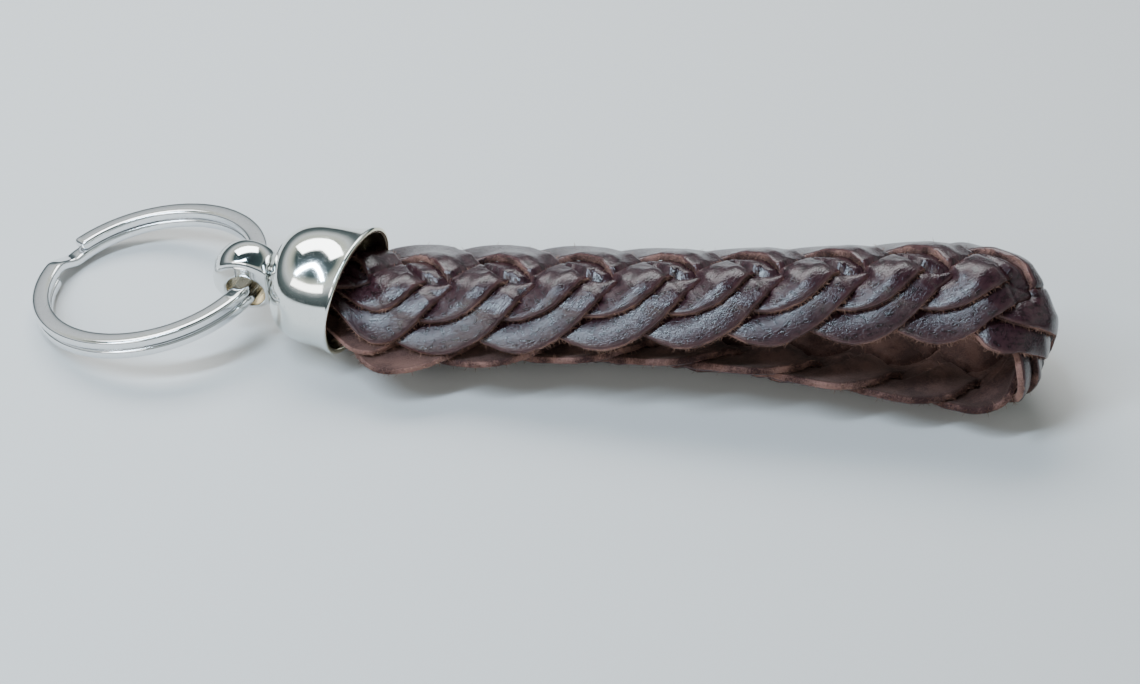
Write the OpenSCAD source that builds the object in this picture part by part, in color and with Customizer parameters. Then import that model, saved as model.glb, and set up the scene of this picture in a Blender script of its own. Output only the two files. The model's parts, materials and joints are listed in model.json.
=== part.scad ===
// Wristlet keychain: a split ring on a swivel eye, a bell-mouthed end cap and a folded strap braided
// from six leather laces. Millimetres, +Z up, resting on z = 0; X is the axis of the cap and swivel.

/* [Split ring] */
// Outer diameter of the split ring
ring_od = 30; // [26:0.5:32]
// Radial width of the flattened wire
wire_w = 2.2; // [2:0.1:2.3]
// Thickness of one coil of the wire
wire_t = 1.3; // [1:0.05:1.35]
// Tilt of the ring, from the surface up to the eye, in degrees
ring_tilt = 11.6; // [10:0.2:13]

/* [Swivel] */
// Radius of the ball head
ball_r = 4.4; // [4.2:0.1:4.6]
// Radius of the hole that the ring passes through
eye_hole_r = 2.45; // [2.45:0.05:2.5]
// Radius of the shank that turns in the cap
shank_r = 1.6; // [1.2:0.1:1.8]

/* [End cap] */
// Outer radius of the cap's straight wall
cap_r = 7.5; // [7.4:0.05:7.6]
// Outer radius of the flared lip
lip_r = 8.15; // [8:0.05:8.4]
// Thickness of the cap's wall
cap_wall = 0.75; // [0.6:0.05:0.9]
// How far the mouth turns sideways from square, in degrees
mouth_yaw = 12; // [0:1:14]
// How far the mouth turns downwards from square, in degrees
mouth_pitch = 4.4; // [0:0.2:6]

/* [Strap] */
// Width of one lace
lace_w = 5; // [4.6:0.1:5.2]
// Thickness of one lace
lace_t = 0.8; // [0.6:0.05:0.85]
// Length of strap from one lace of a family to the next
braid_pitch = 9.9; // [9.5:0.1:10.5]
// Plan angle by which the strap leaves the cap's axis, in degrees
strap_veer = 8; // [0:1:9]

/* [Hidden] */

to_frame = [-21.022, -3.107, -0.024]; // brings the whole part's middle to the origin, resting on z = 0
axis_z = lip_r;                 // height of the cap's axis: the lip rests on the surface
running_gap = 0.05;             // radial clearance of the shank in the cap

// Split ring: two coils joined by a short step, with one end beside each side of the step
ring_mean_r = (ring_od - wire_w) / 2;
coil_gap = 0.05;
coil_rise = wire_t + coil_gap;  // from the middle of the lower coil to the middle of the upper one
ring_yaw = 3;                   // the ring hangs a little to one side in its eye
first_end = 180;                // angle of the lower coil's end, counterclockwise from the eye
step_from = first_end + 340;
step_to = first_end + 358;
last_end = first_end + 696;
ring_step = 8;
half_stack = wire_t + coil_gap / 2;
ring_height = half_stack * cos(ring_tilt) + (ring_od / 2) * sin(ring_tilt);

// Swivel eye
ball_x = -13.9;                 // centre of the ball head
ball_cut = 3.1;                 // from the ball's centre to its flat base
eye_half_w = 2.3;               // half of the head's thickness between its two flats
hole_at = [0.15, 0, -0.9];      // the hole's centre, from the ball's centre
eye_roll = 8;                   // how far the head is turned about the axis at rest
ring_in_eye = [-13.45, 0.1, ring_height + ring_mean_r * sin(ring_tilt)];

// Cap and what it hides
cap_back = -10.3;               // outer face of the closed end
shoulder_x = -4;                // where the rounded shoulder meets the straight wall
shoulder_full = 0.82;           // 1 for an elliptical shoulder, less for a fuller one
boss_r = 2.2;                   // flat middle of the closed end
inner_back = cap_back + 0.9;
washer_t = 0.5;
washer_r = 2.9;
rivet_r = 2.2;
rivet_t = 0.9;
axial_gap = 0.05;
washer_x = inner_back + axial_gap;
rivet_x = washer_x + washer_t + axial_gap;
plug_from = -7.7;
plug_to = -6.6;
whip_from = -5.6;
whip_to = -4.4;

// Strap centreline, from one end in the cap round to the other:
// [x, z, crown angle, roll angle, sideways shift, crest's shift across]
strap_rail = [
    [-6.9, 10.3, 5, 0, 0, 0], [-3, 10.5, 14, 1, 0, -0.4], [3, 11.2, 31, 7, 0, -1.2],
    [10, 12.4, 35, 9, 0, -1.6], [22, 13.9, 34, 6, 0, -1.7], [41, 16.2, 35, 2, 0, -1.8],
    [58, 18.3, 38, 3, 0, -1.7], [70, 19.4, 39, 4, 0, -1.2], [76.5, 18.8, 34, 2, 0, -0.5],
    [81.2, 15.6, 28, 0, 0, 0], [82.9, 10.4, 22, 0, 0.1, 0], [81.3, 5.2, 16, 0, 0.6, 0],
    [76.6, 2.5, 13, 0, 1.4, 0], [68, 2.2, 16, 0, 1.8, 0], [58, 2.5, 22, 0, 1.8, 0],
    [46, 3.1, 26, 0, 2.1, 0], [34, 3.4, 24, 0, 2.4, 0], [22, 3.7, 17, 0, 2.3, 0],
    [12, 4.1, 9, 0, 1.4, 0], [4, 4.7, 2, 0, -0.5, 0], [-3, 5.85, 0, 0, -0.3, 0],
    [-6.9, 6, 0, 0, 0, 0]];
rail_steps = 6;                 // points worked out between two rows of the list
lace_rings = 110;               // cross-sections along one lace
braid_reach = 5.7;              // how far a lace swings to each side of its own mid line
pair_offset = 4.6;              // distance between the mid lines of the two families
first_turn = 7.2;               // where the first lace turns, along the centreline
level_rise = lace_t + 0.15;     // from one layer of the braid to the next
crown_round = 2.2;              // the crown's crest is rounded over this much width
far_ease = 0.26;                // share by which the far slope is gentler where the crest is shifted
pinch = 0.42;                   // width left where the strap is squeezed into the cap
pinch_from = 2.5;               // the squeeze ends between these two lengths
pinch_to = 12;
veer_from = 2;
veer_to = 16;

function smooth(a, b, x) = let (t = min(1, max(0, (x - a) / (b - a)))) t * t * (3 - 2 * t);

// ---- strap centreline -------------------------------------------------------------------------

function rail_row(i) =
    let (n = len(strap_rail))
    i < 0 ? 2 * strap_rail[0] - strap_rail[1] :
    i >= n ? 2 * strap_rail[n - 1] - strap_rail[n - 2] : strap_rail[i];
function chord(a, b) = norm([b[0] - a[0], b[1] - a[1]]);
// Tangent at the middle of three rows, scaled to a span's length
function rail_tangent(a, b, c, span) =
    span * ((b - a) / chord(a, b) - (c - a) / (chord(a, b) + chord(b, c)) + (c - b) / chord(b, c));
function rail_point(i, t) =
    let (a = rail_row(i - 1), b = rail_row(i), c = rail_row(i + 1), d = rail_row(i + 2),
         span = chord(b, c), m0 = rail_tangent(a, b, c, span), m1 = rail_tangent(b, c, d, span))
    (2 * pow(t, 3) - 3 * pow(t, 2) + 1) * b + (pow(t, 3) - 2 * pow(t, 2) + t) * m0
    + (3 * pow(t, 2) - 2 * pow(t, 3)) * c + (pow(t, 3) - pow(t, 2)) * m1;
rail = [for (i = [0 : len(strap_rail) - 2]) for (k = [0 : rail_steps - 1]) rail_point(i, k / rail_steps),
        strap_rail[len(strap_rail) - 1]];
function next_chord(i) = i + 1 < len(rail) ? chord(rail[i], rail[i + 1]) : 0;
rail_len = [for (i = 0, s = 0; i < len(rail); s = s + next_chord(i), i = i + 1) s];
strap_len = rail_len[len(rail_len) - 1];
rail_tables = [for (c = [0 : 5]) [for (i = [0 : len(rail) - 1]) [rail_len[i], rail[i][c]]]];
function along(s, column) = lookup(s, rail_tables[column]);

// Plan bend that takes the strap off the cap's axis
function veered(p) =
    let (share = min(1, max(0, (p[0] - veer_from) / (veer_to - veer_from))), a = strap_veer * share,
         r = (veer_to - veer_from) * 180 / (PI * max(strap_veer, 0.001)),
         past = max(0, p[0] - veer_to), before = min(p[0], veer_from))
    [before + r * sin(a) + past * cos(a) - p[1] * sin(a),
     r * (1 - cos(a)) + past * sin(a) + p[1] * cos(a), p[2]];

// A point of the crowned strap: s along it, u across it, off outwards from its mid surface
function strap_point(s, u_flat, off) =
    let (e = 0.8, x = along(s, 0), z = along(s, 1), steep = along(s, 2), roll = along(s, 3),
         dx = along(s + e, 0) - along(s - e, 0), dz = along(s + e, 1) - along(s - e, 1), d = norm([dx, dz]),
         squeeze = squeezed(s), crest = along(s, 5) * squeeze, u = u_flat * squeeze - crest,
         crown = steep * (1 - far_ease * smooth(-2.5, 2.5, u) * smooth(0, 1, -crest)),
         r = norm([u, crown_round]), lean = sin(crown) * u / r,
         q = u * cos(crown) + off * lean + crest * cos(steep),
         h = off * sqrt(1 - lean * lean) - sin(crown) * (r - crown_round) + crest * sin(steep),
         side = q * cos(roll) - h * sin(roll) + along(s, 4), up = q * sin(roll) + h * cos(roll))
    veered([x - up * dz / d, side, z + up * dx / d]);
function squeezed(s) =
    pinch + (1 - pinch) * smooth(pinch_from, pinch_to, s) * smooth(pinch_from, pinch_to, strap_len - s);

// ---- braid ------------------------------------------------------------------------------------

// Layer that a lace runs in, over the four quarters of its way there and back
near_levels = [-0.5, 0.5, 1.5, -1.5];
far_levels = [1.5, -1.5, -0.5, 0.5];
function wrapped(t) = t - 3 * floor(t / 3);
function layer(levels, t) =
    let (q = wrapped(t) / 0.75, i = floor(q), f = q - i, b = 0.3,
         here = levels[i % 4], next = levels[(i + 1) % 4], last = levels[(i + 3) % 4])
    f > 0.5 ? here + (next - here) * smooth(1 - b, 1 + b, f) : last + (here - last) * smooth(-b, b, f);
function lace_side(family, t) = (family == 0 ? -0.5 : 0.5) * pair_offset - braid_reach * cos(120 * t);
function lace_slope(t) = braid_reach * sin(120 * t) * (2 * PI / 3) / braid_pitch;

function lace_ring(family, turn, s) =
    let (t = (s - first_turn) / braid_pitch - turn, u = lace_side(family, t), a = atan(lace_slope(t)),
         level = level_rise * layer(family == 0 ? near_levels : far_levels, t),
         half = lace_w / 2 * (0.55 + 0.45 * squeezed(s)))
    [for (c = [[-1, -1], [1, -1], [1, 1], [-1, 1]])
        strap_point(s - c[0] * half * sin(a), u + c[0] * half * cos(a), level + c[1] * lace_t / 2)];

module placed() {
    translate(to_frame) children();
}

// Closed tube of quads split into triangles, round rings of k points
function tube_faces(n, k) = concat(
    [[for (i = [0 : k - 1]) i]],
    [for (j = [0 : n - 2]) for (i = [0 : k - 1]) let (a = j * k + i, b = j * k + (i + 1) % k) [a, a + k, b]],
    [for (j = [0 : n - 2]) for (i = [0 : k - 1]) let (a = j * k + i, b = j * k + (i + 1) % k) [b, a + k, b + k]],
    [[for (i = [k - 1 : -1 : 0]) (n - 1) * k + i]]);

module lace(family, turn, shade) {
    ends = 1.8;
    rings = [for (i = [0 : lace_rings - 1])
        lace_ring(family, turn, ends + (strap_len - 2 * ends) * i / (lace_rings - 1))];
    color(shade) placed()
        polyhedron([for (r = rings) for (p = r) p], tube_faces(lace_rings, 4), convexity = 10);
}

// ---- metal ------------------------------------------------------------------------------------

function wire_height(a) = -coil_rise / 2 + coil_rise * smooth(step_from, step_to, a);
// Flattened wire section with soft corners, as [outwards, up]
corner = 0.45;
wire_section = [
    for (c = [[1, -1], [1, 1], [-1, 1], [-1, -1]])
        for (k = c[0] == c[1] ? [0, 1] : [1, 0])
            [c[0] * (wire_w / 2 - k * corner), c[1] * (wire_t / 2 - (1 - k) * corner)]];

module split_ring() {
    count = (last_end - first_end) / ring_step + 1;
    points = [for (i = [0 : count - 1]) for (q = wire_section)
        let (a = first_end + i * ring_step, r = ring_mean_r + q[0])
        [r * cos(a), r * sin(a), wire_height(a) + q[1]]];
    color("lightsteelblue") placed()
        translate(ring_in_eye) rotate([0, 0, -ring_yaw]) rotate([0, -ring_tilt, 0]) translate([-ring_mean_r, 0, 0])
            polyhedron(points, tube_faces(count, len(wire_section)), convexity = 10);
}

module swivel_eye() {
    color("gainsboro") placed()
        translate([ball_x, 0, axis_z]) rotate([eye_roll, 0, 0]) {
            difference() {
                sphere(r = ball_r, $fn = 64);
                translate([ball_cut, -ball_r, -ball_r]) cube(2 * ball_r);
                for (side = [-1, 1])
                    translate([0, side * (eye_half_w + ball_r), 0]) cube(2 * ball_r, center = true);
                translate(hole_at) rotate([90, 0, 0])
                    cylinder(r = eye_hole_r, h = 3 * ball_r, center = true, $fn = 48);
            }
            translate([ball_cut - 0.3, 0, 0]) rotate([0, 90, 0])
                cylinder(r = shank_r, h = rivet_x - ball_x - ball_cut + 0.4, $fn = 48);
            translate([rivet_x - ball_x, 0, 0]) rotate([0, 90, 0])
                cylinder(r = rivet_r, h = rivet_t, $fn = 48);
        }
}

module swivel_washer() {
    color("silver") placed()
        translate([washer_x, 0, axis_z]) rotate([0, 90, 0])
            difference() {
                cylinder(r = washer_r, h = washer_t, $fn = 64);
                translate([0, 0, -1]) cylinder(r = shank_r + running_gap, h = washer_t + 2, $fn = 48);
            }
}

// Rounded end and straight wall of the cap, revolved about its own Z
module cap_form(r, back, flat_r, front) {
    sweep = [for (a = [0 : 10 : 90])
        [flat_r + (r - flat_r) * pow(sin(a), shoulder_full),
         back + (shoulder_x - back) * (1 - pow(cos(a), shoulder_full))]];
    rotate_extrude($fn = 96) polygon(concat([[0, back]], sweep, [[r, front], [0, front]]));
}

// Turns a child that points along Z to face out of the slanted mouth
module at_mouth() {
    translate([0, 0, axis_z]) rotate([0, mouth_pitch, -mouth_yaw]) rotate([0, 90, 0]) children();
}

module end_cap() {
    lip_l = 3;
    lip_edge = 0.4;
    color("silver") placed()
        difference() {
            union() {
                difference() {
                    translate([0, 0, axis_z]) rotate([0, 90, 0]) cap_form(cap_r, cap_back, boss_r, 6);
                    at_mouth() cylinder(r = 3 * cap_r, h = 3 * cap_r, $fn = 64);
                }
                at_mouth() translate([0, 0, -lip_l]) rotate_extrude($fn = 96)
                    polygon([[cap_r - cap_wall, 0], [cap_r, 0], [lip_r, lip_l - lip_edge], [lip_r, lip_l],
                             [cap_r - cap_wall, lip_l]]);
            }
            at_mouth() translate([0, 0, -lip_l])
                cylinder(r1 = cap_r - cap_wall, r2 = lip_r - cap_wall, h = lip_l, $fn = 96);
            translate([0, 0, axis_z]) rotate([0, 90, 0])
                cap_form(cap_r - cap_wall, inner_back, boss_r + 1, 9);
            translate([cap_back - 1, 0, axis_z]) rotate([0, 90, 0])
                cylinder(r = shank_r + running_gap, h = 4, $fn = 48);
        }
}

module glue_plug() {
    color("khaki") placed()
        translate([plug_from, 0, axis_z]) rotate([0, 90, 0]) cylinder(r = 5.7, h = plug_to - plug_from, $fn = 64);
}

module whipping_thread() {
    whip_r = 6.5;
    color("tan") placed()
        translate([whip_from, 0, axis_z]) rotate([0, 90, 0])
            difference() {
                cylinder(r = whip_r, h = whip_to - whip_from, $fn = 64);
                translate([0, 0, -1]) cylinder(r = whip_r - 0.45, h = 4, $fn = 64);
            }
}

split_ring();
swivel_eye();
swivel_washer();
end_cap();
glue_plug();
whipping_thread();
lace(0, 0, "saddlebrown");  // lace_1
lace(0, 1, "sienna");  // lace_2
lace(0, 2, "saddlebrown");  // lace_3
lace(1, 0, "sienna");  // lace_4
lace(1, 1, "saddlebrown");  // lace_5
lace(1, 2, "sienna");  // lace_6
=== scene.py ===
"""Looks of the wristlet keychain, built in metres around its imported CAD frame."""

import json
import logging
import math
from dataclasses import dataclass, field
from enum import Enum
from typing import Callable, Sequence

import bpy
import numpy as np
from mathutils import Matrix, Vector

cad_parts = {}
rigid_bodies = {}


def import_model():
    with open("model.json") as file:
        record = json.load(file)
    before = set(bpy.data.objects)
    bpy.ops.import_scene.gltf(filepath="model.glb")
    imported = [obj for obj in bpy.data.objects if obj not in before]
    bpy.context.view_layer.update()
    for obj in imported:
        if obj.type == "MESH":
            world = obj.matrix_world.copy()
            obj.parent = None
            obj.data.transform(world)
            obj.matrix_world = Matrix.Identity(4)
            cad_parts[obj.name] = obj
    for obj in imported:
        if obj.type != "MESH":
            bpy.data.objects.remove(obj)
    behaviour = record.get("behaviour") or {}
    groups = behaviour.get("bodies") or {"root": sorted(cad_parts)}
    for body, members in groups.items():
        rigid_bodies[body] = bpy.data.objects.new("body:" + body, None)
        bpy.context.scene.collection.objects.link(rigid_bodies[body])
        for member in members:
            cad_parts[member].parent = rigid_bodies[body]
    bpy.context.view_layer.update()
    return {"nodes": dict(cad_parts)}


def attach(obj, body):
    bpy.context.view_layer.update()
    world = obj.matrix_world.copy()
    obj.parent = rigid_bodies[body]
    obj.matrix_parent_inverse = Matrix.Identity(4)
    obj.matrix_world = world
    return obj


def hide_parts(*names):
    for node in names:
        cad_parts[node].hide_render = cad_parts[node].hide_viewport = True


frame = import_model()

logging.basicConfig(level=logging.INFO, format="%(levelname)s %(message)s")
LOG = logging.getLogger("wristlet")

MM = 0.001
SEED = 7
TO_FRAME = np.array([-21.022, -3.107, -0.024])  # millimetres, from the cap's mouth to the row frame


class Body(Enum):
    """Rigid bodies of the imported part."""

    STRAP = "strap"
    EYE = "eye"
    RING = "ring"


# ---- small numeric helpers ---------------------------------------------------------------------


def smooth(low: float, high: float, x: np.ndarray) -> np.ndarray:
    """Smoothstep.

    Args:
        low: value at which the result leaves 0.
        high: value at which it reaches 1.
        x: where to evaluate it.

    Returns:
        Values from 0 to 1, the shape of x.
    """
    t = np.clip((x - low) / (high - low), 0.0, 1.0)
    return t * t * (3.0 - 2.0 * t)


def turned(degrees: float, axis: str) -> np.ndarray:
    """Rotation about a row axis.

    Args:
        degrees: angle by the right-hand rule.
        axis: "X", "Y" or "Z".

    Returns:
        A 3 by 3 matrix.
    """
    return np.array(Matrix.Rotation(math.radians(degrees), 3, axis))


def lumps(points: np.ndarray, size: float, seed: int) -> np.ndarray:
    """Soft random variation that is the same on every run.

    Args:
        points: N by 3 positions in millimetres.
        size: distance between lumps in millimetres.
        seed: picks the pattern.

    Returns:
        N values of about -1 to 1.
    """
    rng = np.random.default_rng(seed)
    total = np.zeros(len(points))
    for _ in range(9):
        wave = rng.normal(size=3)
        wave *= 2.0 * math.pi / (size * np.linalg.norm(wave)) * rng.uniform(0.7, 1.4)
        total += np.sin(points @ wave + rng.uniform(0.0, 6.28))
    return total / 4.5


# ---- meshes ------------------------------------------------------------------------------------


@dataclass
class MeshData:
    """Vertices in millimetres, faces, and what each face and corner carries.

    Attributes:
        points: N by 3 vertex positions.
        faces: corner lists, anticlockwise from outside.
        slots: material index of each face.
        uv: optional N by 2 texture coordinates, one per vertex.
        values: named per-vertex attributes.
    """

    points: np.ndarray
    faces: list[tuple[int, ...]]
    slots: np.ndarray
    uv: np.ndarray | None = None
    values: dict[str, np.ndarray] = field(default_factory=dict)

    def build(self, name: str, materials: Sequence[bpy.types.Material]) -> bpy.types.Object:
        """Makes the Blender object.

        Args:
            name: the object's name.
            materials: one per material index.

        Returns:
            A smooth-shaded mesh object at the origin, in metres.
        """
        mesh = bpy.data.meshes.new(name)
        mesh.from_pydata(((self.points + TO_FRAME) * MM).tolist(), [], self.faces)
        mesh.polygons.foreach_set("material_index", np.asarray(self.slots, np.int32))
        mesh.polygons.foreach_set("use_smooth", np.ones(len(self.faces), bool))
        for material in materials:
            mesh.materials.append(material)
        if self.uv is not None:
            layer = mesh.uv_layers.new(name="UVMap")
            corners = np.zeros(len(mesh.loops), np.int32)
            mesh.loops.foreach_get("vertex_index", corners)
            layer.data.foreach_set("uv", self.uv[corners].astype(np.float32).ravel())
        for key, value in self.values.items():
            attribute = mesh.attributes.new(key, "FLOAT", "POINT")
            attribute.data.foreach_set("value", value.astype(np.float32))
        mesh.validate()
        mesh.update()
        obj = bpy.data.objects.new(name, mesh)
        bpy.context.scene.collection.objects.link(obj)
        LOG.info("%s: %d vertices, %d faces", name, len(mesh.vertices), len(mesh.polygons))
        return obj


def joined(parts: Sequence[MeshData]) -> MeshData:
    """Puts several meshes into one.

    Args:
        parts: the meshes, none of which carries texture coordinates.

    Returns:
        One mesh.
    """
    faces: list[tuple[int, ...]] = []
    start = 0
    for part in parts:
        faces += [tuple(start + i for i in f) for f in part.faces]
        start += len(part.points)
    return MeshData(
        np.concatenate([p.points for p in parts]), faces, np.concatenate([p.slots for p in parts])
    )


def grid_faces(rows: int, columns: int, wrap_rows: bool, wrap_columns: bool) -> list[tuple[int, ...]]:
    """Quads over a grid of vertices stored row by row.

    Args:
        rows: number of rows.
        columns: number of vertices in a row.
        wrap_rows: whether the last row joins the first.
        wrap_columns: whether each row is a closed ring.

    Returns:
        Four-corner faces.
    """
    faces = []
    for j in range(rows if wrap_rows else rows - 1):
        k = (j + 1) % rows
        for i in range(columns if wrap_columns else columns - 1):
            n = (i + 1) % columns
            faces.append((j * columns + i, j * columns + n, k * columns + n, k * columns + i))
    return faces


def revolved(profile: np.ndarray, segments: int, slots: Sequence[int]) -> MeshData:
    """Turns a profile about the X axis.

    Args:
        profile: M by 2 of (x, radius), from the closed end outwards and round.
        segments: steps round the axis.
        slots: material index of each of the M - 1 bands.

    Returns:
        A surface of revolution.
    """
    angle = np.linspace(0.0, 2.0 * math.pi, segments, endpoint=False)
    rows = [
        np.stack([np.full(segments, x), r * np.cos(angle), r * np.sin(angle)], axis=1)
        for x, r in profile
    ]
    faces = grid_faces(len(profile), segments, False, True)
    return MeshData(np.concatenate(rows), faces, np.repeat(np.asarray(slots, np.int32), segments))


# ---- shader groups and materials ---------------------------------------------------------------


class NodeSheet:
    """Shorthand for building one node tree, a material's or a group's."""

    def __init__(self, tree: bpy.types.NodeTree) -> None:
        """Wraps a tree.

        Args:
            tree: the tree to add nodes to.
        """
        self.tree = tree

    def add(self, kind: str, **settings: object) -> bpy.types.Node:
        """Adds a node.

        Args:
            kind: the node's type name.
            **settings: node properties.

        Returns:
            The node.
        """
        node = self.tree.nodes.new(kind)
        for key, value in settings.items():
            setattr(node, key, value)
        return node

    def link(self, source: bpy.types.NodeSocket, target: bpy.types.NodeSocket) -> None:
        """Joins an output to an input.

        Args:
            source: output socket.
            target: input socket.
        """
        self.tree.links.new(source, target)

    def ramp(
        self, source: bpy.types.NodeSocket, stops: Sequence[tuple[float, tuple[float, ...]]]
    ) -> bpy.types.NodeSocket:
        """Maps a value through a colour ramp.

        Args:
            source: value socket.
            stops: (position, colour) pairs from low to high.

        Returns:
            The colour output.
        """
        node = self.add("ShaderNodeValToRGB")
        ramp = node.color_ramp
        while len(ramp.elements) < len(stops):
            ramp.elements.new(0.5)
        for element, (position, colour) in zip(ramp.elements, stops):
            element.position = position
            element.color = (*colour, 1.0)
        self.link(source, node.inputs[0])
        return node.outputs[0]

    def mixed(
        self, share: bpy.types.NodeSocket, a: bpy.types.NodeSocket, b: bpy.types.NodeSocket
    ) -> bpy.types.NodeSocket:
        """Blends two colours.

        Args:
            share: how much of b.
            a: first colour.
            b: second colour.

        Returns:
            The colour output.
        """
        node = self.add("ShaderNodeMix", data_type="RGBA")
        self.link(share, node.inputs[0])
        self.link(a, node.inputs[6])
        self.link(b, node.inputs[7])
        return node.outputs[2]

    def maths(self, operation: str, a: bpy.types.NodeSocket, b: object = 0.0) -> bpy.types.NodeSocket:
        """Adds a Math node.

        Args:
            operation: the operation's name.
            a: first input socket.
            b: second input, a socket or a number.

        Returns:
            The value output.
        """
        node = self.add("ShaderNodeMath", operation=operation)
        self.link(a, node.inputs[0])
        if isinstance(b, (int, float)):
            node.inputs[1].default_value = b
        else:
            self.link(b, node.inputs[1])
        return node.outputs[0]

    def noise(
        self, place: bpy.types.NodeSocket, scale: float, detail: float, distortion: float = 0.0
    ) -> bpy.types.NodeSocket:
        """Adds a noise texture.

        Args:
            place: where to read it.
            scale: lumps per unit.
            detail: finer layers laid over the first.
            distortion: how far the lumps are smeared.

        Returns:
            The value output.
        """
        node = self.add("ShaderNodeTexNoise")
        for label, value in (("Scale", scale), ("Detail", detail), ("Distortion", distortion)):
            node.inputs[label].default_value = value
        self.link(place, node.inputs["Vector"])
        return node.outputs[0]

    def colour(self, value: Sequence[float]) -> bpy.types.NodeSocket:
        """Adds a plain colour.

        Args:
            value: red, green and blue.

        Returns:
            The colour output.
        """
        node = self.add("ShaderNodeRGB")
        node.outputs[0].default_value = (*value, 1.0)
        return node.outputs[0]

    def scaled(self, source: bpy.types.Node) -> bpy.types.NodeSocket:
        """Multiplies a group's Vector input by its Scale input.

        Args:
            source: the group's input node.

        Returns:
            The vector output.
        """
        node = self.add("ShaderNodeVectorMath", operation="SCALE")
        self.link(source.outputs["Vector"], node.inputs[0])
        self.link(source.outputs["Scale"], node.inputs["Scale"])
        return node.outputs[0]


class ShaderGroups:
    """Shared effects, each built once as a node group."""

    def __init__(self) -> None:
        """Starts with no group built."""
        self._made: dict[str, bpy.types.NodeTree] = {}

    def _group(
        self, name: str, outputs: Sequence[tuple[str, str]], fill: Callable[..., None]
    ) -> bpy.types.NodeTree:
        """Makes a group with Vector and Scale inputs the first time it is asked for.

        Args:
            name: the group's name.
            outputs: (name, socket type) of each output.
            fill: draws the inside, given the sheet, input node and output node.

        Returns:
            The node group.
        """
        if name not in self._made:
            tree = bpy.data.node_groups.new(name, "ShaderNodeTree")
            tree.interface.new_socket("Vector", in_out="INPUT", socket_type="NodeSocketVector")
            scale = tree.interface.new_socket("Scale", in_out="INPUT", socket_type="NodeSocketFloat")
            scale.default_value = 1.0
            for label, kind in outputs:
                tree.interface.new_socket(label, in_out="OUTPUT", socket_type=kind)
            sheet = NodeSheet(tree)
            fill(sheet, sheet.add("NodeGroupInput"), sheet.add("NodeGroupOutput"))
            self._made[name] = tree
        return self._made[name]

    def leather_grain(self) -> bpy.types.NodeTree:
        """Pores and fine crosswise wrinkles.

        Returns:
            A group giving Height and a slow Tone variation.
        """

        def fill(sheet: NodeSheet, source: bpy.types.Node, out: bpy.types.Node) -> None:
            """Draws the inside of the group.

            Args:
                sheet: the group's sheet.
                source: its input node.
                out: its output node.
            """
            place = sheet.scaled(source)
            cells = sheet.add("ShaderNodeTexVoronoi", feature="DISTANCE_TO_EDGE")
            cells.inputs["Scale"].default_value = 2.6
            sheet.link(place, cells.inputs["Vector"])
            creases = sheet.ramp(cells.outputs["Distance"], [(0.0, (0, 0, 0)), (0.16, (1, 1, 1))])
            stretched = sheet.add("ShaderNodeVectorMath", operation="MULTIPLY")
            stretched.inputs[1].default_value = (2.2, 0.32, 1.0)
            sheet.link(place, stretched.inputs[0])
            wrinkles = sheet.noise(stretched.outputs[0], 1.0, 4.0)
            fine = sheet.noise(place, 7.0, 3.0)
            height = sheet.maths("MULTIPLY", creases, 0.24)
            height = sheet.maths("ADD", height, sheet.maths("MULTIPLY", wrinkles, 0.7))
            height = sheet.maths("ADD", height, sheet.maths("MULTIPLY", fine, 0.42))
            sheet.link(height, out.inputs[0])
            sheet.link(sheet.noise(place, 1.3, 3.0), out.inputs[1])

        return self._group(
            "Leather grain", [("Height", "NodeSocketFloat"), ("Tone", "NodeSocketFloat")], fill
        )

    def scratches(self) -> bpy.types.NodeTree:
        """Hairline marks and faint ripples of a polished plate that has been carried about.

        Returns:
            A group giving Marks and Ripple.
        """

        def fill(sheet: NodeSheet, source: bpy.types.Node, out: bpy.types.Node) -> None:
            """Draws the inside of the group.

            Args:
                sheet: the group's sheet.
                source: its input node.
                out: its output node.
            """
            place = sheet.scaled(source)
            total = None
            for turn, stretch in ((0.4, (14.0, 0.5, 9.0)), (1.7, (0.6, 12.0, 8.0)), (2.6, (8.0, 9.0, 0.7))):
                bent = sheet.add("ShaderNodeMapping")
                bent.inputs["Rotation"].default_value = (turn, turn * 0.7, turn * 1.3)
                bent.inputs["Scale"].default_value = stretch
                sheet.link(place, bent.inputs[0])
                streaks = sheet.noise(bent.outputs[0], 1.0, 2.0)
                line = sheet.ramp(streaks, [(0.66, (0, 0, 0)), (0.71, (1, 1, 1))])
                total = line if total is None else sheet.maths("MAXIMUM", total, line)
            sheet.link(total, out.inputs[0])
            sheet.link(sheet.noise(place, 0.35, 2.0), out.inputs[1])

        return self._group(
            "Plate scratches", [("Marks", "NodeSocketFloat"), ("Ripple", "NodeSocketFloat")], fill
        )

    def fibres(self) -> bpy.types.NodeTree:
        """Matted fibres of cut or unfinished leather.

        Returns:
            A group giving Height and Tone.
        """

        def fill(sheet: NodeSheet, source: bpy.types.Node, out: bpy.types.Node) -> None:
            """Draws the inside of the group.

            Args:
                sheet: the group's sheet.
                source: its input node.
                out: its output node.
            """
            place = sheet.scaled(source)
            sheet.link(sheet.noise(place, 5.0, 6.0, 1.4), out.inputs[0])
            sheet.link(sheet.noise(place, 0.3, 3.0), out.inputs[1])

        return self._group(
            "Leather fibres", [("Height", "NodeSocketFloat"), ("Tone", "NodeSocketFloat")], fill
        )


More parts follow.
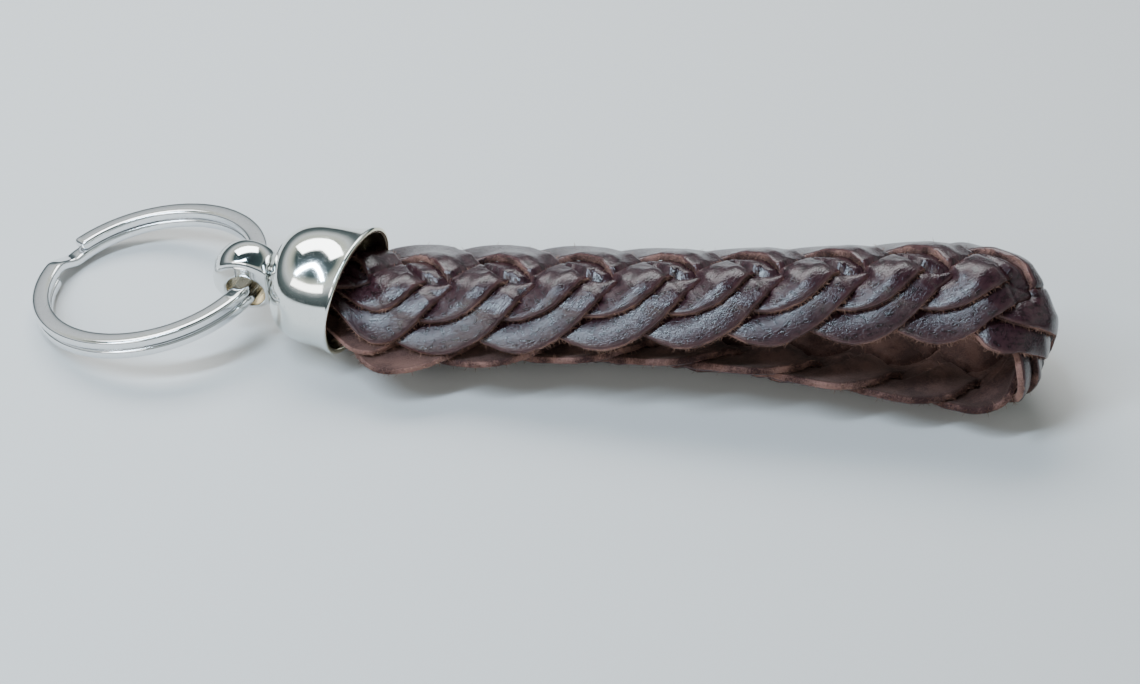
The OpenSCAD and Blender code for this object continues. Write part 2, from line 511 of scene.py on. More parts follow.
class Finish:
    """Base of every finish: makes the material and its shared group node.

    Attributes:
        name: the material's name.
    """

    name: str

    def start(self) -> tuple[bpy.types.Material, NodeSheet, bpy.types.Node]:
        """Makes an empty material with a Principled shader.

        Returns:
            The material, its sheet and the shader node.
        """
        material = bpy.data.materials.new(self.name)
        material.use_nodes = True
        shader = material.node_tree.nodes["Principled BSDF"]
        return material, NodeSheet(material.node_tree), shader

    @staticmethod
    def settle(shader: bpy.types.Node, values: dict[str, object]) -> None:
        """Sets inputs of the shader.

        Args:
            shader: the Principled node.
            values: by the input's label.
        """
        for label, value in values.items():
            shader.inputs[label].default_value = value

    @staticmethod
    def effect(
        sheet: NodeSheet, group: bpy.types.NodeTree, scale: float, source: str = "Object"
    ) -> bpy.types.Node:
        """Adds a shared effect fed by stable coordinates.

        Args:
            sheet: the material's sheet.
            group: the effect's node group.
            scale: lumps per unit of the coordinates.
            source: "Object" or "UV".

        Returns:
            The group node.
        """
        coordinates = sheet.add("ShaderNodeTexCoord")
        node = sheet.add("ShaderNodeGroup", node_tree=group)
        node.inputs["Scale"].default_value = scale
        sheet.link(coordinates.outputs[source], node.inputs["Vector"])
        return node

    @staticmethod
    def bump(
        sheet: NodeSheet, shader: bpy.types.Node, height: bpy.types.NodeSocket, strength: float, depth: float
    ) -> None:
        """Adds relief to the shader.

        Args:
            sheet: the material's sheet.
            shader: the Principled shader.
            height: relief from 0 to 1.
            strength: share of the relief that shows.
            depth: relief in metres.
        """
        node = sheet.add("ShaderNodeBump")
        node.inputs["Strength"].default_value = strength
        node.inputs["Distance"].default_value = depth
        sheet.link(height, node.inputs["Height"])
        sheet.link(node.outputs[0], shader.inputs["Normal"])


@dataclass(frozen=True)
class PolishedMetal(Finish):
    """Plated metal polished to a mirror.

    Attributes:
        name: the material's name.
        colour: base colour.
        roughness: of the clean plate.
        ripple: depth of the uneven polish in metres.
        dulled: share of its brightness that a scratch keeps.
        marked: roughness that a scratch adds.
    """

    name: str
    colour: tuple[float, float, float]
    roughness: float = 0.07
    ripple: float = 0.00004
    dulled: float = 0.86
    marked: float = 0.16

    def build(self, groups: ShaderGroups) -> bpy.types.Material:
        """Makes the material.

        Args:
            groups: shared effects.

        Returns:
            The material.
        """
        material, sheet, shader = self.start()
        effect = self.effect(sheet, groups.scratches(), 900.0)
        dull = [c * self.dulled for c in self.colour]
        plate = sheet.mixed(effect.outputs[0], sheet.colour(self.colour), sheet.colour(dull))
        sheet.link(plate, shader.inputs["Base Color"])
        rough = sheet.maths("MULTIPLY", effect.outputs[0], self.marked)
        rough = sheet.maths("ADD", rough, sheet.maths("MULTIPLY", effect.outputs[1], self.roughness * 2.0))
        sheet.link(rough, shader.inputs["Roughness"])
        self.settle(shader, {"Metallic": 1.0})
        self.bump(sheet, shader, effect.outputs[1], 0.35, self.ripple)
        return material


@dataclass(frozen=True)
class LeatherFace(Finish):
    """Waxed grain side of a lace.

    Attributes:
        name: the material's name.
        deep: darkest colour of the slow tone variation.
        body: main colour.
        worn: colour where it is rubbed.
        faded: colour of the lightest patches.
    """

    name: str
    deep: tuple[float, float, float] = (0.010, 0.0042, 0.0052)
    body: tuple[float, float, float] = (0.030, 0.0115, 0.0155)
    worn: tuple[float, float, float] = (0.085, 0.036, 0.034)
    faded: tuple[float, float, float] = (0.046, 0.020, 0.022)

    def build(self, groups: ShaderGroups) -> bpy.types.Material:
        """Makes the material.

        Args:
            groups: shared effects.

        Returns:
            The material.
        """
        material, sheet, shader = self.start()
        effect = self.effect(sheet, groups.leather_grain(), 1.0, "UV")
        tone = sheet.ramp(effect.outputs[1], [(0.3, self.deep), (0.52, self.body), (0.8, self.faded)])
        rub = sheet.add("ShaderNodeAttribute", attribute_name="rub")
        patchy = sheet.maths("MULTIPLY", rub.outputs["Fac"], sheet.maths("MULTIPLY", effect.outputs[1], 1.7))
        sheet.link(sheet.mixed(patchy, tone, sheet.colour(self.worn)), shader.inputs["Base Color"])
        rough = sheet.maths("ADD", sheet.maths("MULTIPLY", effect.outputs[1], 0.16), 0.14)
        sheet.link(rough, shader.inputs["Roughness"])
        self.settle(shader, {"Specular IOR Level": 0.42, "Coat Weight": 0.06, "Coat Roughness": 0.26})
        self.bump(sheet, shader, effect.outputs[0], 0.55, 0.0001)
        return material


@dataclass(frozen=True)
class RawLeather(Finish):
    """Cut edge or flesh side of a lace: matted, unfinished fibres.

    Attributes:
        name: the material's name.
        dark: darker colour, for random dark patches and, as painted shade, for the hollows of the fibres.
        light: lighter colour, for random light patches and the raised fibres.
        relief: depth in metres.
    """

    name: str
    dark: tuple[float, float, float]
    light: tuple[float, float, float]
    relief: float = 0.00016

    def build(self, groups: ShaderGroups) -> bpy.types.Material:
        """Makes the material.

        Args:
            groups: shared effects.

        Returns:
            The material.
        """
        material, sheet, shader = self.start()
        effect = self.effect(sheet, groups.fibres(), 900.0)
        # Part of the tone follows the fibres' relief height, so the hollows get painted shade; the rest is
        # slow random tone.
        fine = sheet.maths("MULTIPLY", effect.outputs[0], 0.35)
        slow = sheet.maths("MULTIPLY", effect.outputs[1], 0.65)
        tone = sheet.ramp(sheet.maths("ADD", fine, slow), [(0.44, self.dark), (0.6, self.light)])
        sheet.link(tone, shader.inputs["Base Color"])
        self.settle(shader, {"Roughness": 0.82, "Specular IOR Level": 0.2, "Sheen Weight": 0.12})
        self.settle(shader, {"Sheen Roughness": 0.5, "Sheen Tint": (0.9, 0.62, 0.5, 1.0)})
        self.bump(sheet, shader, effect.outputs[0], 0.8, self.relief)
        return material


@dataclass(frozen=True)
class Plain(Finish):
    """A simple finish with a little mottling.

    Attributes:
        name: the material's name.
        dark: darker colour.
        light: lighter colour.
        roughness: of the surface.
        scale: mottles per metre.
    """

    name: str
    dark: tuple[float, float, float]
    light: tuple[float, float, float]
    roughness: float = 0.6
    scale: float = 400.0

    def build(self, groups: ShaderGroups) -> bpy.types.Material:
        """Makes the material.

        Args:
            groups: shared effects.

        Returns:
            The material.
        """
        material, sheet, shader = self.start()
        effect = self.effect(sheet, groups.fibres(), self.scale)
        tone = sheet.ramp(effect.outputs[1], [(0.35, self.dark), (0.65, self.light)])
        sheet.link(tone, shader.inputs["Base Color"])
        self.settle(shader, {"Roughness": self.roughness})
        return material


# ---- split ring --------------------------------------------------------------------------------


@dataclass
class SplitRing:
    """Two coils of flattened wire joined by a short step.

    Attributes:
        outer: outer diameter.
        width: radial width of the wire.
        thick: thickness of one coil.
        gap: space between the coils.
        tilt: rise towards the eye, in degrees.
        yaw: sideways hang, in degrees.
        eye: where the wire's middle lies in the swivel eye.
        first_end: angle of the lower coil's end, in degrees.
        wound: how far the wire runs from end to end, in degrees.
        step_from: where the step between the coils starts, in degrees from the first end.
        step_to: where it ends.
        corner: 1 for an elliptical section, less for a squarer one.
        taper: length over which an end is rounded off.
        steps: sections along the wire.
        section: points round a section.
    """

    outer: float = 30.0
    width: float = 2.2
    thick: float = 1.3
    gap: float = 0.05
    tilt: float = 11.6
    yaw: float = 3.0
    eye: tuple[float, float, float] = (-13.45, 0.1, 7.109)
    first_end: float = 180.0
    wound: float = 696.0
    step_from: float = 340.0
    step_to: float = 358.0
    corner: float = 0.5
    taper: float = 0.7
    steps: int = 720
    section: int = 28

    def mesh(self) -> MeshData:
        """Sweeps the wire's section round its two turns.

        Returns:
            One closed surface.
        """
        mean = (self.outer - self.width) / 2.0
        turn = np.linspace(0.0, self.wound, self.steps)
        rise = self.thick + self.gap
        height = -rise / 2.0 + rise * smooth(self.step_from, self.step_to, turn)
        phi = np.linspace(0.0, 2.0 * math.pi, self.section, endpoint=False) + math.pi / 4.0
        out = np.sign(np.cos(phi)) * np.abs(np.cos(phi)) ** self.corner * self.width / 2.0
        up = np.sign(np.sin(phi)) * np.abs(np.sin(phi)) ** self.corner * self.thick / 2.0
        arc = np.radians(turn) * mean
        from_end = np.clip(np.minimum(arc, arc[-1] - arc) / self.taper, 0.0, 1.0)
        share = np.sqrt(np.clip(1.0 - (1.0 - from_end) ** 2, 0.0025, 1.0))
        across = 0.35 + 0.65 * share
        radius = mean + across[:, None] * out[None, :]
        level = height[:, None] + (0.25 + 0.75 * share)[:, None] * up[None, :]
        a = np.radians(self.first_end + turn)[:, None]
        points = np.stack([radius * np.cos(a), radius * np.sin(a), level + 0.0 * radius], axis=2)
        points = points.reshape(-1, 3) + (-mean, 0.0, 0.0)
        points = points @ turned(-self.tilt, "Y").T @ turned(-self.yaw, "Z").T + np.array(self.eye)
        faces = grid_faces(self.steps, self.section, False, True)
        faces += [tuple(range(self.section))[::-1]]
        last = (self.steps - 1) * self.section
        faces += [tuple(last + i for i in range(self.section))]
        return MeshData(points, [f[::-1] for f in faces], np.zeros(len(faces), np.int32))


# ---- swivel eye --------------------------------------------------------------------------------


@dataclass
class SwivelEye:
    """Ball head with two flats, a cross hole and a shank that ends in a peened head.

    Attributes:
        centre: of the ball.
        ball: its radius.
        flat: half the thickness between the flats.
        base: distance from the centre to the flat base.
        hole: radius of the cross hole.
        hole_at: the hole's centre (x, z) from the ball's centre.
        roll: turn about the axis at rest, in degrees.
        shank: radius of the shank.
        blend: width over which the ball runs into its flat base.
        turns: steps round the hole.
    """

    centre: tuple[float, float, float] = (-13.9, 0.0, 8.15)
    ball: float = 4.4
    flat: float = 2.3
    base: float = 3.1
    hole: float = 2.45
    hole_at: tuple[float, float] = (0.15, -0.9)
    roll: float = 8.0
    shank: float = 1.6
    blend: float = 0.35
    turns: int = 224

    def _reach(self, angle: float, y: np.ndarray) -> np.ndarray:
        """Distance from the hole's axis to the outside.

        Args:
            angle: direction round the hole's axis, in radians.
            y: places along the hole.

        Returns:
            The distance at each place.
        """
        c, s = math.cos(angle), math.sin(angle)
        hx, hz = self.hole_at
        across = hx * c + hz * s
        ball = -across + np.sqrt(np.maximum(across**2 - (hx**2 + hz**2) + self.ball**2 - y**2, 0.0))
        if c <= 0.05:
            return ball
        flat = (self.base - hx) / c
        h = np.clip(0.5 + 0.5 * (flat - ball) / self.blend, 0.0, 1.0)
        return ball * h + flat * (1.0 - h) - self.blend * h * (1.0 - h)

    def mesh(self) -> MeshData:
        """Builds the head as rings round its hole, then adds the shank.

        Returns:
            The head in material 0, the hole's wall in material 1.
        """
        ring: list[np.ndarray] = []
        bend = np.linspace(0.0, math.pi / 2.0, 6)
        for angle in np.linspace(0.0, 2.0 * math.pi, self.turns, endpoint=False):
            edge = float(self._reach(angle, np.array([self.flat]))[0])
            room = edge - self.hole
            soft = min(0.32, 0.42 * room)
            rim = min(0.42, 0.42 * room)
            wall = np.linspace(-(self.flat - soft), self.flat - soft, 9)
            rho = [np.full(9, self.hole)]
            along = [wall]
            rho.append(self.hole + soft * (1.0 - np.cos(bend[1:])))
            along.append(self.flat - soft + soft * np.sin(bend[1:]))
            side = np.linspace(self.flat, -self.flat, 27)
            reach = self._reach(angle, side)
            near = np.abs(side) / self.flat
            reach = reach - rim * np.clip((near - 0.8) / 0.2, 0.0, 1.0) ** 2.4
            flat_to = float(reach[0])
            rho.append(np.linspace(self.hole + soft, flat_to, 6)[1:-1])
            along.append(np.full(4, self.flat))
            rho.append(reach)
            along.append(side)
            rho.append(np.linspace(flat_to, self.hole + soft, 6)[1:-1])
            along.append(np.full(4, -self.flat))
            rho.append(self.hole + soft * (1.0 - np.cos(bend[1:][::-1])))
            along.append(-(self.flat - soft + soft * np.sin(bend[1:][::-1])))
            r, y = np.concatenate(rho), np.concatenate(along)
            x, z = self.hole_at[0] + r * math.cos(angle), self.hole_at[1] + r * math.sin(angle)
            ring.append(np.stack([x, y, z], axis=1))
        count = len(ring[0])
        faces = grid_faces(self.turns, count, True, True)
        slots = np.array([1 if i % count < 8 else 0 for i in range(len(faces))], np.int32)
        head = MeshData(np.concatenate(ring), faces, slots)
        b, n = self.base, self.shank
        foot = [(-0.5, 0.01), (-0.5, n + 0.7), (-0.12, n + 0.62), (0.02, n + 0.3), (0.18, n + 0.06)]
        straight = [(0.32, n), (2.05, n)]
        peen = [(2.05, 2.1), (2.15, 2.2), (2.5, 2.15), (2.8, 1.7), (2.92, 1.0), (2.95, 0.01)]
        profile = np.array([*foot, *straight, *peen]) + (b, 0.0)
        shank = revolved(profile, 72, [0] * (len(profile) - 1))
        whole = joined([head, shank])
        whole.points = whole.points @ turned(self.roll, "X").T + np.array(self.centre)
        return whole


# ---- end cap -----------------------------------------------------------------------------------


@dataclass
class EndCap:
    """Bell-shaped cap with a slanted, flared mouth.

    Attributes:
        axis_z: height of its axis.
        back: the closed end.
        shoulder: where the rounded shoulder meets the wall.
        full: 1 for an elliptical shoulder, less for a fuller one.
        boss: radius of the flat middle of the closed end.
        radius: outer radius of the wall.
        lip: outer radius of the flared lip.
        wall: thickness.
        mouth_yaw: sideways slant of the mouth, in degrees.
        mouth_pitch: downward slant of the mouth, in degrees.
        bore: radius of the hole for the shank.
        end_wall: thickness of the closed end.
        flare_run: how far before the mouth the lip starts to flare.
        segments: steps round the axis.
        steps: points along the outside.
    """

    axis_z: float = 8.15
    back: float = -10.3
    shoulder: float = -4.0
    full: float = 0.82
    boss: float = 2.2
    radius: float = 7.5
    lip: float = 8.15
    wall: float = 0.75
    mouth_yaw: float = 12.0
    mouth_pitch: float = 4.4
    bore: float = 1.65
    end_wall: float = 0.9
    flare_run: float = 4.0
    segments: int = 256
    steps: int = 90

    def _outside(self, x: np.ndarray, mouth: float) -> np.ndarray:
        """Outer radius along the cap.

        Args:
            x: places along the axis.
            mouth: where the mouth is in this direction.

        Returns:
            The radius at each place.
        """
        t = np.clip(1.0 - (x - self.back) / (self.shoulder - self.back), 0.0, 1.0)
        power = 2.0 / self.full
        bell = self.boss + (self.radius - self.boss) * np.clip(1.0 - t**power, 0.0, 1.0) ** (1.0 / power)
        flare = np.clip((x - mouth + self.flare_run) / (0.9 * self.flare_run), 0.0, 1.0) ** 2.4
        return bell + (self.lip - self.radius) * flare

    def mesh(self) -> MeshData:
        """Builds the wall as one closed surface.

        Returns:
            The plate in material 0, the rim's edge in 1, the inside in 2.
        """
        rows: list[np.ndarray] = []
        yaw, pitch = math.radians(self.mouth_yaw), math.radians(self.mouth_pitch)
        level = math.cos(pitch)
        normal = (math.cos(yaw) * level, -math.sin(yaw) * level, -math.sin(pitch))
        bend = np.linspace(0.0, math.pi, 13)
        curve = np.linspace(0.0, math.pi / 2.0, 300)
        shoulder = self.back + (self.shoulder - self.back) * (1.0 - np.cos(curve) ** self.full)
        entry_x = [self.back + 0.3, self.back + 0.06, self.back]
        entry_r = [self.bore, self.bore + 0.02, self.bore + 0.12]
        leave_x = [self.back + self.end_wall, self.back + 0.3]
        leave_r = [self.bore, self.bore]
        for theta in np.linspace(0.0, 2.0 * math.pi, self.segments, endpoint=False):
            c, s = math.cos(theta), math.sin(theta)
            mouth = -self.lip * (normal[1] * c + normal[2] * s) / normal[0]
            fine = np.concatenate([shoulder, np.linspace(self.shoulder, mouth - self.wall / 2.0, 300)[1:]])
            fine_r = self._outside(fine, mouth)
            run = np.concatenate([[0.0], np.cumsum(np.hypot(np.diff(fine), np.diff(fine_r)))])
            even = np.linspace(0.0, run[-1], self.steps)
            x, r = np.interp(even, run, fine), np.interp(even, run, fine_r)
            rim_x = mouth - self.wall / 2.0 + self.wall / 2.0 * np.sin(bend[1:-1])
            rim_r = self.lip - self.wall / 2.0 + self.wall / 2.0 * np.cos(bend[1:-1])
            inner_x, inner_r = x[::-1], r[::-1] - self.wall
            keep = inner_r > self.bore + 1.2
            inner_x, inner_r = inner_x[keep], inner_r[keep]
            extra = np.full(len(x) - len(inner_x), inner_x[-1])
            inner_x = np.maximum(np.concatenate([inner_x, extra]), self.back + self.end_wall)
            inner_r = np.concatenate([inner_r, np.full(len(extra), inner_r[-1])])
            ring_x = np.concatenate([entry_x, x, rim_x, inner_x, leave_x])
            ring_r = np.concatenate([entry_r, r, rim_r, inner_r, leave_r])
            rows.append(np.stack([ring_x, ring_r * c, ring_r * s], axis=1))
        count = len(rows[0])
        faces = [f[::-1] for f in grid_faces(self.segments, count, True, True)]
        outer = 3 + self.steps
        place = np.arange(len(faces)) % count
        slots = np.where(place < outer + 2, 0, np.where(place < outer + 11, 1, 2)).astype(np.int32)
        return MeshData(np.concatenate(rows) + (0.0, 0.0, self.axis_z), faces, slots)


# ---- strap -------------------------------------------------------------------------------------

RailRow = tuple[float, float, float, float, float, float]


@dataclass
class StrapSurface:
    """Middle surface of the folded strap, crowned across and laid off to one side.

    Attributes:
        rail: (x, z, crown angle, roll angle, sideways shift, crest's place across) from one end in the
            cap round to the other.
        crest: width over which the crown is rounded.
        far_ease: how much flatter the far slope is where the crest lies off the middle.
        pinch: share of its width left inside the cap.
        pinch_span: lengths from an end between which the squeeze lets go.
        veer: plan angle of the strap from the cap's axis, in degrees.
        veer_span: x at which the bend starts and ends.
    """

    rail: tuple[RailRow, ...] = (
        (-6.9, 10.3, 5, 0, 0, 0), (-3.0, 10.5, 14, 1, 0, -0.4), (3.0, 11.2, 31, 7, 0, -1.2),
        (10.0, 12.4, 35, 9, 0, -1.6), (22.0, 13.9, 34, 6, 0, -1.7), (41.0, 16.2, 35, 2, 0, -1.8),
        (58.0, 18.3, 38, 3, 0, -1.7), (70.0, 19.4, 39, 4, 0, -1.2), (76.5, 18.8, 34, 2, 0, -0.5),
        (81.2, 15.6, 28, 0, 0, 0), (82.9, 10.4, 22, 0, 0.1, 0), (81.3, 5.2, 16, 0, 0.6, 0),
        (76.6, 2.5, 13, 0, 1.4, 0), (68.0, 2.2, 16, 0, 1.8, 0), (58.0, 2.5, 22, 0, 1.8, 0),
        (46.0, 3.1, 26, 0, 2.1, 0), (34.0, 3.4, 24, 0, 2.4, 0), (22.0, 3.7, 17, 0, 2.3, 0),
        (12.0, 4.1, 9, 0, 1.4, 0), (4.0, 4.7, 2, 0, -0.5, 0), (-3.0, 5.85, 0, 0, -0.3, 0),
        (-6.9, 6.0, 0, 0, 0, 0),
    )
    crest: float = 2.2
    far_ease: float = 0.26
    pinch: float = 0.42
    pinch_span: tuple[float, float] = (2.5, 12.0)
    veer: float = 8.0
    veer_span: tuple[float, float] = (2.0, 16.0)

    def __post_init__(self) -> None:
        """Works the rail out finely by arc length."""
        rows = np.array(self.rail, float)
        padded = np.concatenate([2 * rows[:1] - rows[1:2], rows, 2 * rows[-1:] - rows[-2:-1]])
        fine = []
        t = np.linspace(0.0, 1.0, 24, endpoint=False)[:, None]
        for i in range(1, len(padded) - 2):
            a, b, c, d = padded[i - 1 : i + 3]
            ab, bc, cd = (float(np.hypot(*(q - p)[:2])) for p, q in ((a, b), (b, c), (c, d)))
            m0 = bc * ((b - a) / ab - (c - a) / (ab + bc) + (c - b) / bc)
            m1 = bc * ((c - b) / bc - (d - b) / (bc + cd) + (d - c) / cd)
            fine.append(
                (2 * t**3 - 3 * t**2 + 1) * b + (t**3 - 2 * t**2 + t) * m0
                + (3 * t**2 - 2 * t**3) * c + (t**3 - t**2) * m1
            )
        self._rows = np.concatenate([*fine, rows[-1:]])
        steps = np.hypot(*np.diff(self._rows[:, :2], axis=0).T)
        self._s = np.concatenate([[0.0], np.cumsum(steps)])
        self.length = float(self._s[-1])
        mouth = np.flatnonzero(self._rows[:, 0] >= 0.0)[0]
        self.mouth_s = float(self._s[mouth])

    def along(self, s: np.ndarray, column: int) -> np.ndarray:
        """Reads one column of the rail.

        Args:
            s: lengths along the strap.
            column: 0 to 5, as in a rail row.

        Returns:
            The values.
        """
        return np.interp(s, self._s, self._rows[:, column])

    def squeezed(self, s: np.ndarray) -> np.ndarray:
        """Share of its width that the strap keeps near the cap.

        Args:
            s: lengths along the strap.

        Returns:
            Values up to 1.
        """
        low, high = self.pinch_span
        ends = smooth(low, high, s) * smooth(low, high, self.length - s)
        return self.pinch + (1.0 - self.pinch) * ends

    def point(self, s: np.ndarray, u: np.ndarray, off: np.ndarray) -> np.ndarray:
        """A point of the strap.

        Args:
            s: length along it.
            u: distance across it, flat.
            off: distance outwards from the middle surface.

        Returns:
            N by 3 positions in millimetres, from the cap's mouth.
        """
        e = 0.5
        inside = np.clip(s, e, self.length - e)
        x, z = self.along(s, 0), self.along(s, 1)
        steep, roll = np.radians(self.along(s, 2)), np.radians(self.along(s, 3))
        dx = self.along(inside + e, 0) - self.along(inside - e, 0)
        dz = self.along(inside + e, 1) - self.along(inside - e, 1)
        d = np.hypot(dx, dz)
        crest = self.along(s, 5) * self.squeezed(s)
        w = u * self.squeezed(s) - crest
        crown = steep * (1.0 - self.far_ease * smooth(-2.5, 2.5, w) * smooth(0.0, 1.0, -crest))
        r = np.hypot(w, self.crest)
        lean = np.sin(crown) * w / r
        q = w * np.cos(crown) + off * lean + crest * np.cos(steep)
        h = off * np.sqrt(1.0 - lean**2) - np.sin(crown) * (r - self.crest) + crest * np.sin(steep)
        side = q * np.cos(roll) - h * np.sin(roll) + self.along(s, 4)
        up = q * np.sin(roll) + h * np.cos(roll)
        px, pz = x - up * dz / d, z + up * dx / d
        low, high = self.veer_span
        share = np.clip((px - low) / (high - low), 0.0, 1.0)
        a = math.radians(self.veer) * share
        radius = (high - low) / math.radians(self.veer)
        past, before = np.maximum(px - high, 0.0), np.minimum(px, low)
        return np.stack(
            [before + radius * np.sin(a) + past * np.cos(a) - side * np.sin(a),
             radius * (1.0 - np.cos(a)) + past * np.sin(a) + side * np.cos(a), pz],
            axis=-1,
        )


class Family(Enum):
    """The two families of laces that the braid is made of."""

    NEAR = 0
    FAR = 1


@dataclass
class BraidPlan:
    """Where each lace runs in the flat braid, and how the laces press past one another.

    Attributes:
        pitch: length from one lace of a family to the next.
        reach: how far a lace swings to each side.
        offset: distance between the two families' mid lines.
        width: of a lace.
        thick: of a lace.
        cell: size of a cell of the height map.
        turns: rounds in which the laces settle.
    """

    pitch: float = 9.9
    reach: float = 5.7
    offset: float = 4.6
    width: float = 5.1
    thick: float = 1.1
    cell: float = 0.3
    turns: int = 260

    def side(self, family: Family, t: np.ndarray) -> np.ndarray:
        """Lateral place of a lace's middle.

        Args:
            family: which family.
            t: pitches since the lace's near turn.

        Returns:
            Distance across the strap.
        """
        mid = (-0.5 if family is Family.NEAR else 0.5) * self.offset
        return mid - self.reach * np.cos(2.0 * math.pi * t / 3.0)

    def slope(self, t: np.ndarray) -> np.ndarray:
        """Slope of a lace's path.

        Args:
            t: pitches since its near turn.

        Returns:
            Distance across per distance along.
        """
        return self.reach * np.sin(2.0 * math.pi * t / 3.0) * (2.0 * math.pi / 3.0) / self.pitch

    @staticmethod
    def layer(family: Family, t: np.ndarray) -> np.ndarray:
        """Layer that a lace runs in.

        Args:
            family: which family.
            t: pitches since its near turn.

        Returns:
            Layer numbers, higher outwards.
        """
        levels = np.array([-0.5, 0.5, 1.5, -1.5] if family is Family.NEAR else [1.5, -1.5, -0.5, 0.5])
        q = (t % 3.0) / 0.75
        i = np.floor(q).astype(int)
        f = q - i
        here, after, before = levels[i % 4], levels[(i + 1) % 4], levels[(i + 3) % 4]
        rising = here + (after - here) * smooth(0.7, 1.3, f)
        falling = before + (here - before) * smooth(-0.3, 0.3, f)
        return np.where(f > 0.5, rising, falling)

    @staticmethod
    def _crossings(both: np.ndarray) -> list[np.ndarray]:
        """Separate places where two laces cross.

        Args:
            both: the grid's cells that both laces cover.

        Returns:
            Each crossing's cells.
        """
        label = np.where(both, np.arange(both.size).reshape(both.shape) + 1, 0)
        for _ in range(140):
            grown = label
            for axis in (0, 1):
                for shift in (1, -1):
                    grown = np.maximum(grown, np.roll(label, shift, axis))
            label = np.where(both, grown, 0)
        return [label == value for value in np.unique(label[both])]

    def heights(self) -> dict[Family, np.ndarray]:
        """Lets six laces of a repeat settle on one another.

        Returns:
            For each family, the height map over one repeat, on a grid of cells.
        """
        period = 3.0 * self.pitch
        nx, half = int(round(period / self.cell)), 12.0
        ny = int(round(2.0 * half / self.cell)) + 1
        gx, gy = np.meshgrid(np.arange(nx) * period / nx, np.linspace(-half, half, ny), indexing="ij")
        masks, levels = [], []
        for family in Family:
            for j in range(3):
                c = gx.copy()
                for _ in range(8):
                    t = c / self.pitch - j
                    u, du = self.side(family, t), self.slope(t)
                    c += np.clip(((gx - c) + (gy - u) * du) / (1.0 + du * du + 0.6), -1.5, 1.5)
                t = c / self.pitch - j
                masks.append(np.hypot(gx - c, gy - self.side(family, t)) <= self.width / 2.0)
                levels.append(self.layer(family, t))
        order = []
        for a in range(6):
            for b in range(a + 1, 6):
                sign = np.zeros(gx.shape)
                for patch in self._crossings(masks[a] & masks[b]):
                    sign[patch] = 1.0 if (levels[a] - levels[b])[patch].mean() > 0.0 else -1.0
                if sign.any():
                    order.append((a, b, sign))
        h = np.array(levels) * 0.45
        keep = np.array(masks, float)
        for turn in range(self.turns):
            last = turn > self.turns - 40
            for _ in range(1 if last else 3):
                total, count = np.zeros_like(h), np.zeros_like(h)
                for axis in (1, 2):
                    for shift in (1, -1):
                        total += np.roll(h * keep, shift, axis)
                        count += np.roll(keep, shift, axis)
                mean = np.where(count > 0, total / np.maximum(count, 1e-9), h)
                h += (0.2 if last else 0.65) * (mean - h)
            if not last:
                h *= 0.994
            for _ in range(2):
                for a, b, sign in order:
                    gap = sign * (h[a] - h[b]) - self.thick
                    push = 0.48 * np.minimum(gap, 0.0) * np.abs(sign)
                    h[a] -= sign * push
                    h[b] += sign * push
        return {Family.NEAR: h[0], Family.FAR: h[3]}

    def read(self, grid: np.ndarray, x: np.ndarray, u: np.ndarray) -> np.ndarray:
        """Height at places of the flat braid.

        Args:
            grid: one family's height map.
            x: length since the near turn of the family's first lace.
            u: distance across.

        Returns:
            Heights, blended between cells.
        """
        nx, ny = grid.shape
        gx = (x % (3.0 * self.pitch)) / (3.0 * self.pitch) * nx
        gy = np.clip((u + 12.0) / 24.0 * (ny - 1), 0.0, ny - 1.001)
        i, j = np.floor(gx).astype(int), np.floor(gy).astype(int)
        fx, fy = gx - i, gy - j
        i, k = i % nx, (i + 1) % nx
        near = grid[i, j] * (1 - fx) + grid[k, j] * fx
        far = grid[i, j + 1] * (1 - fx) + grid[k, j + 1] * fx
        return near * (1 - fy) + far * fy


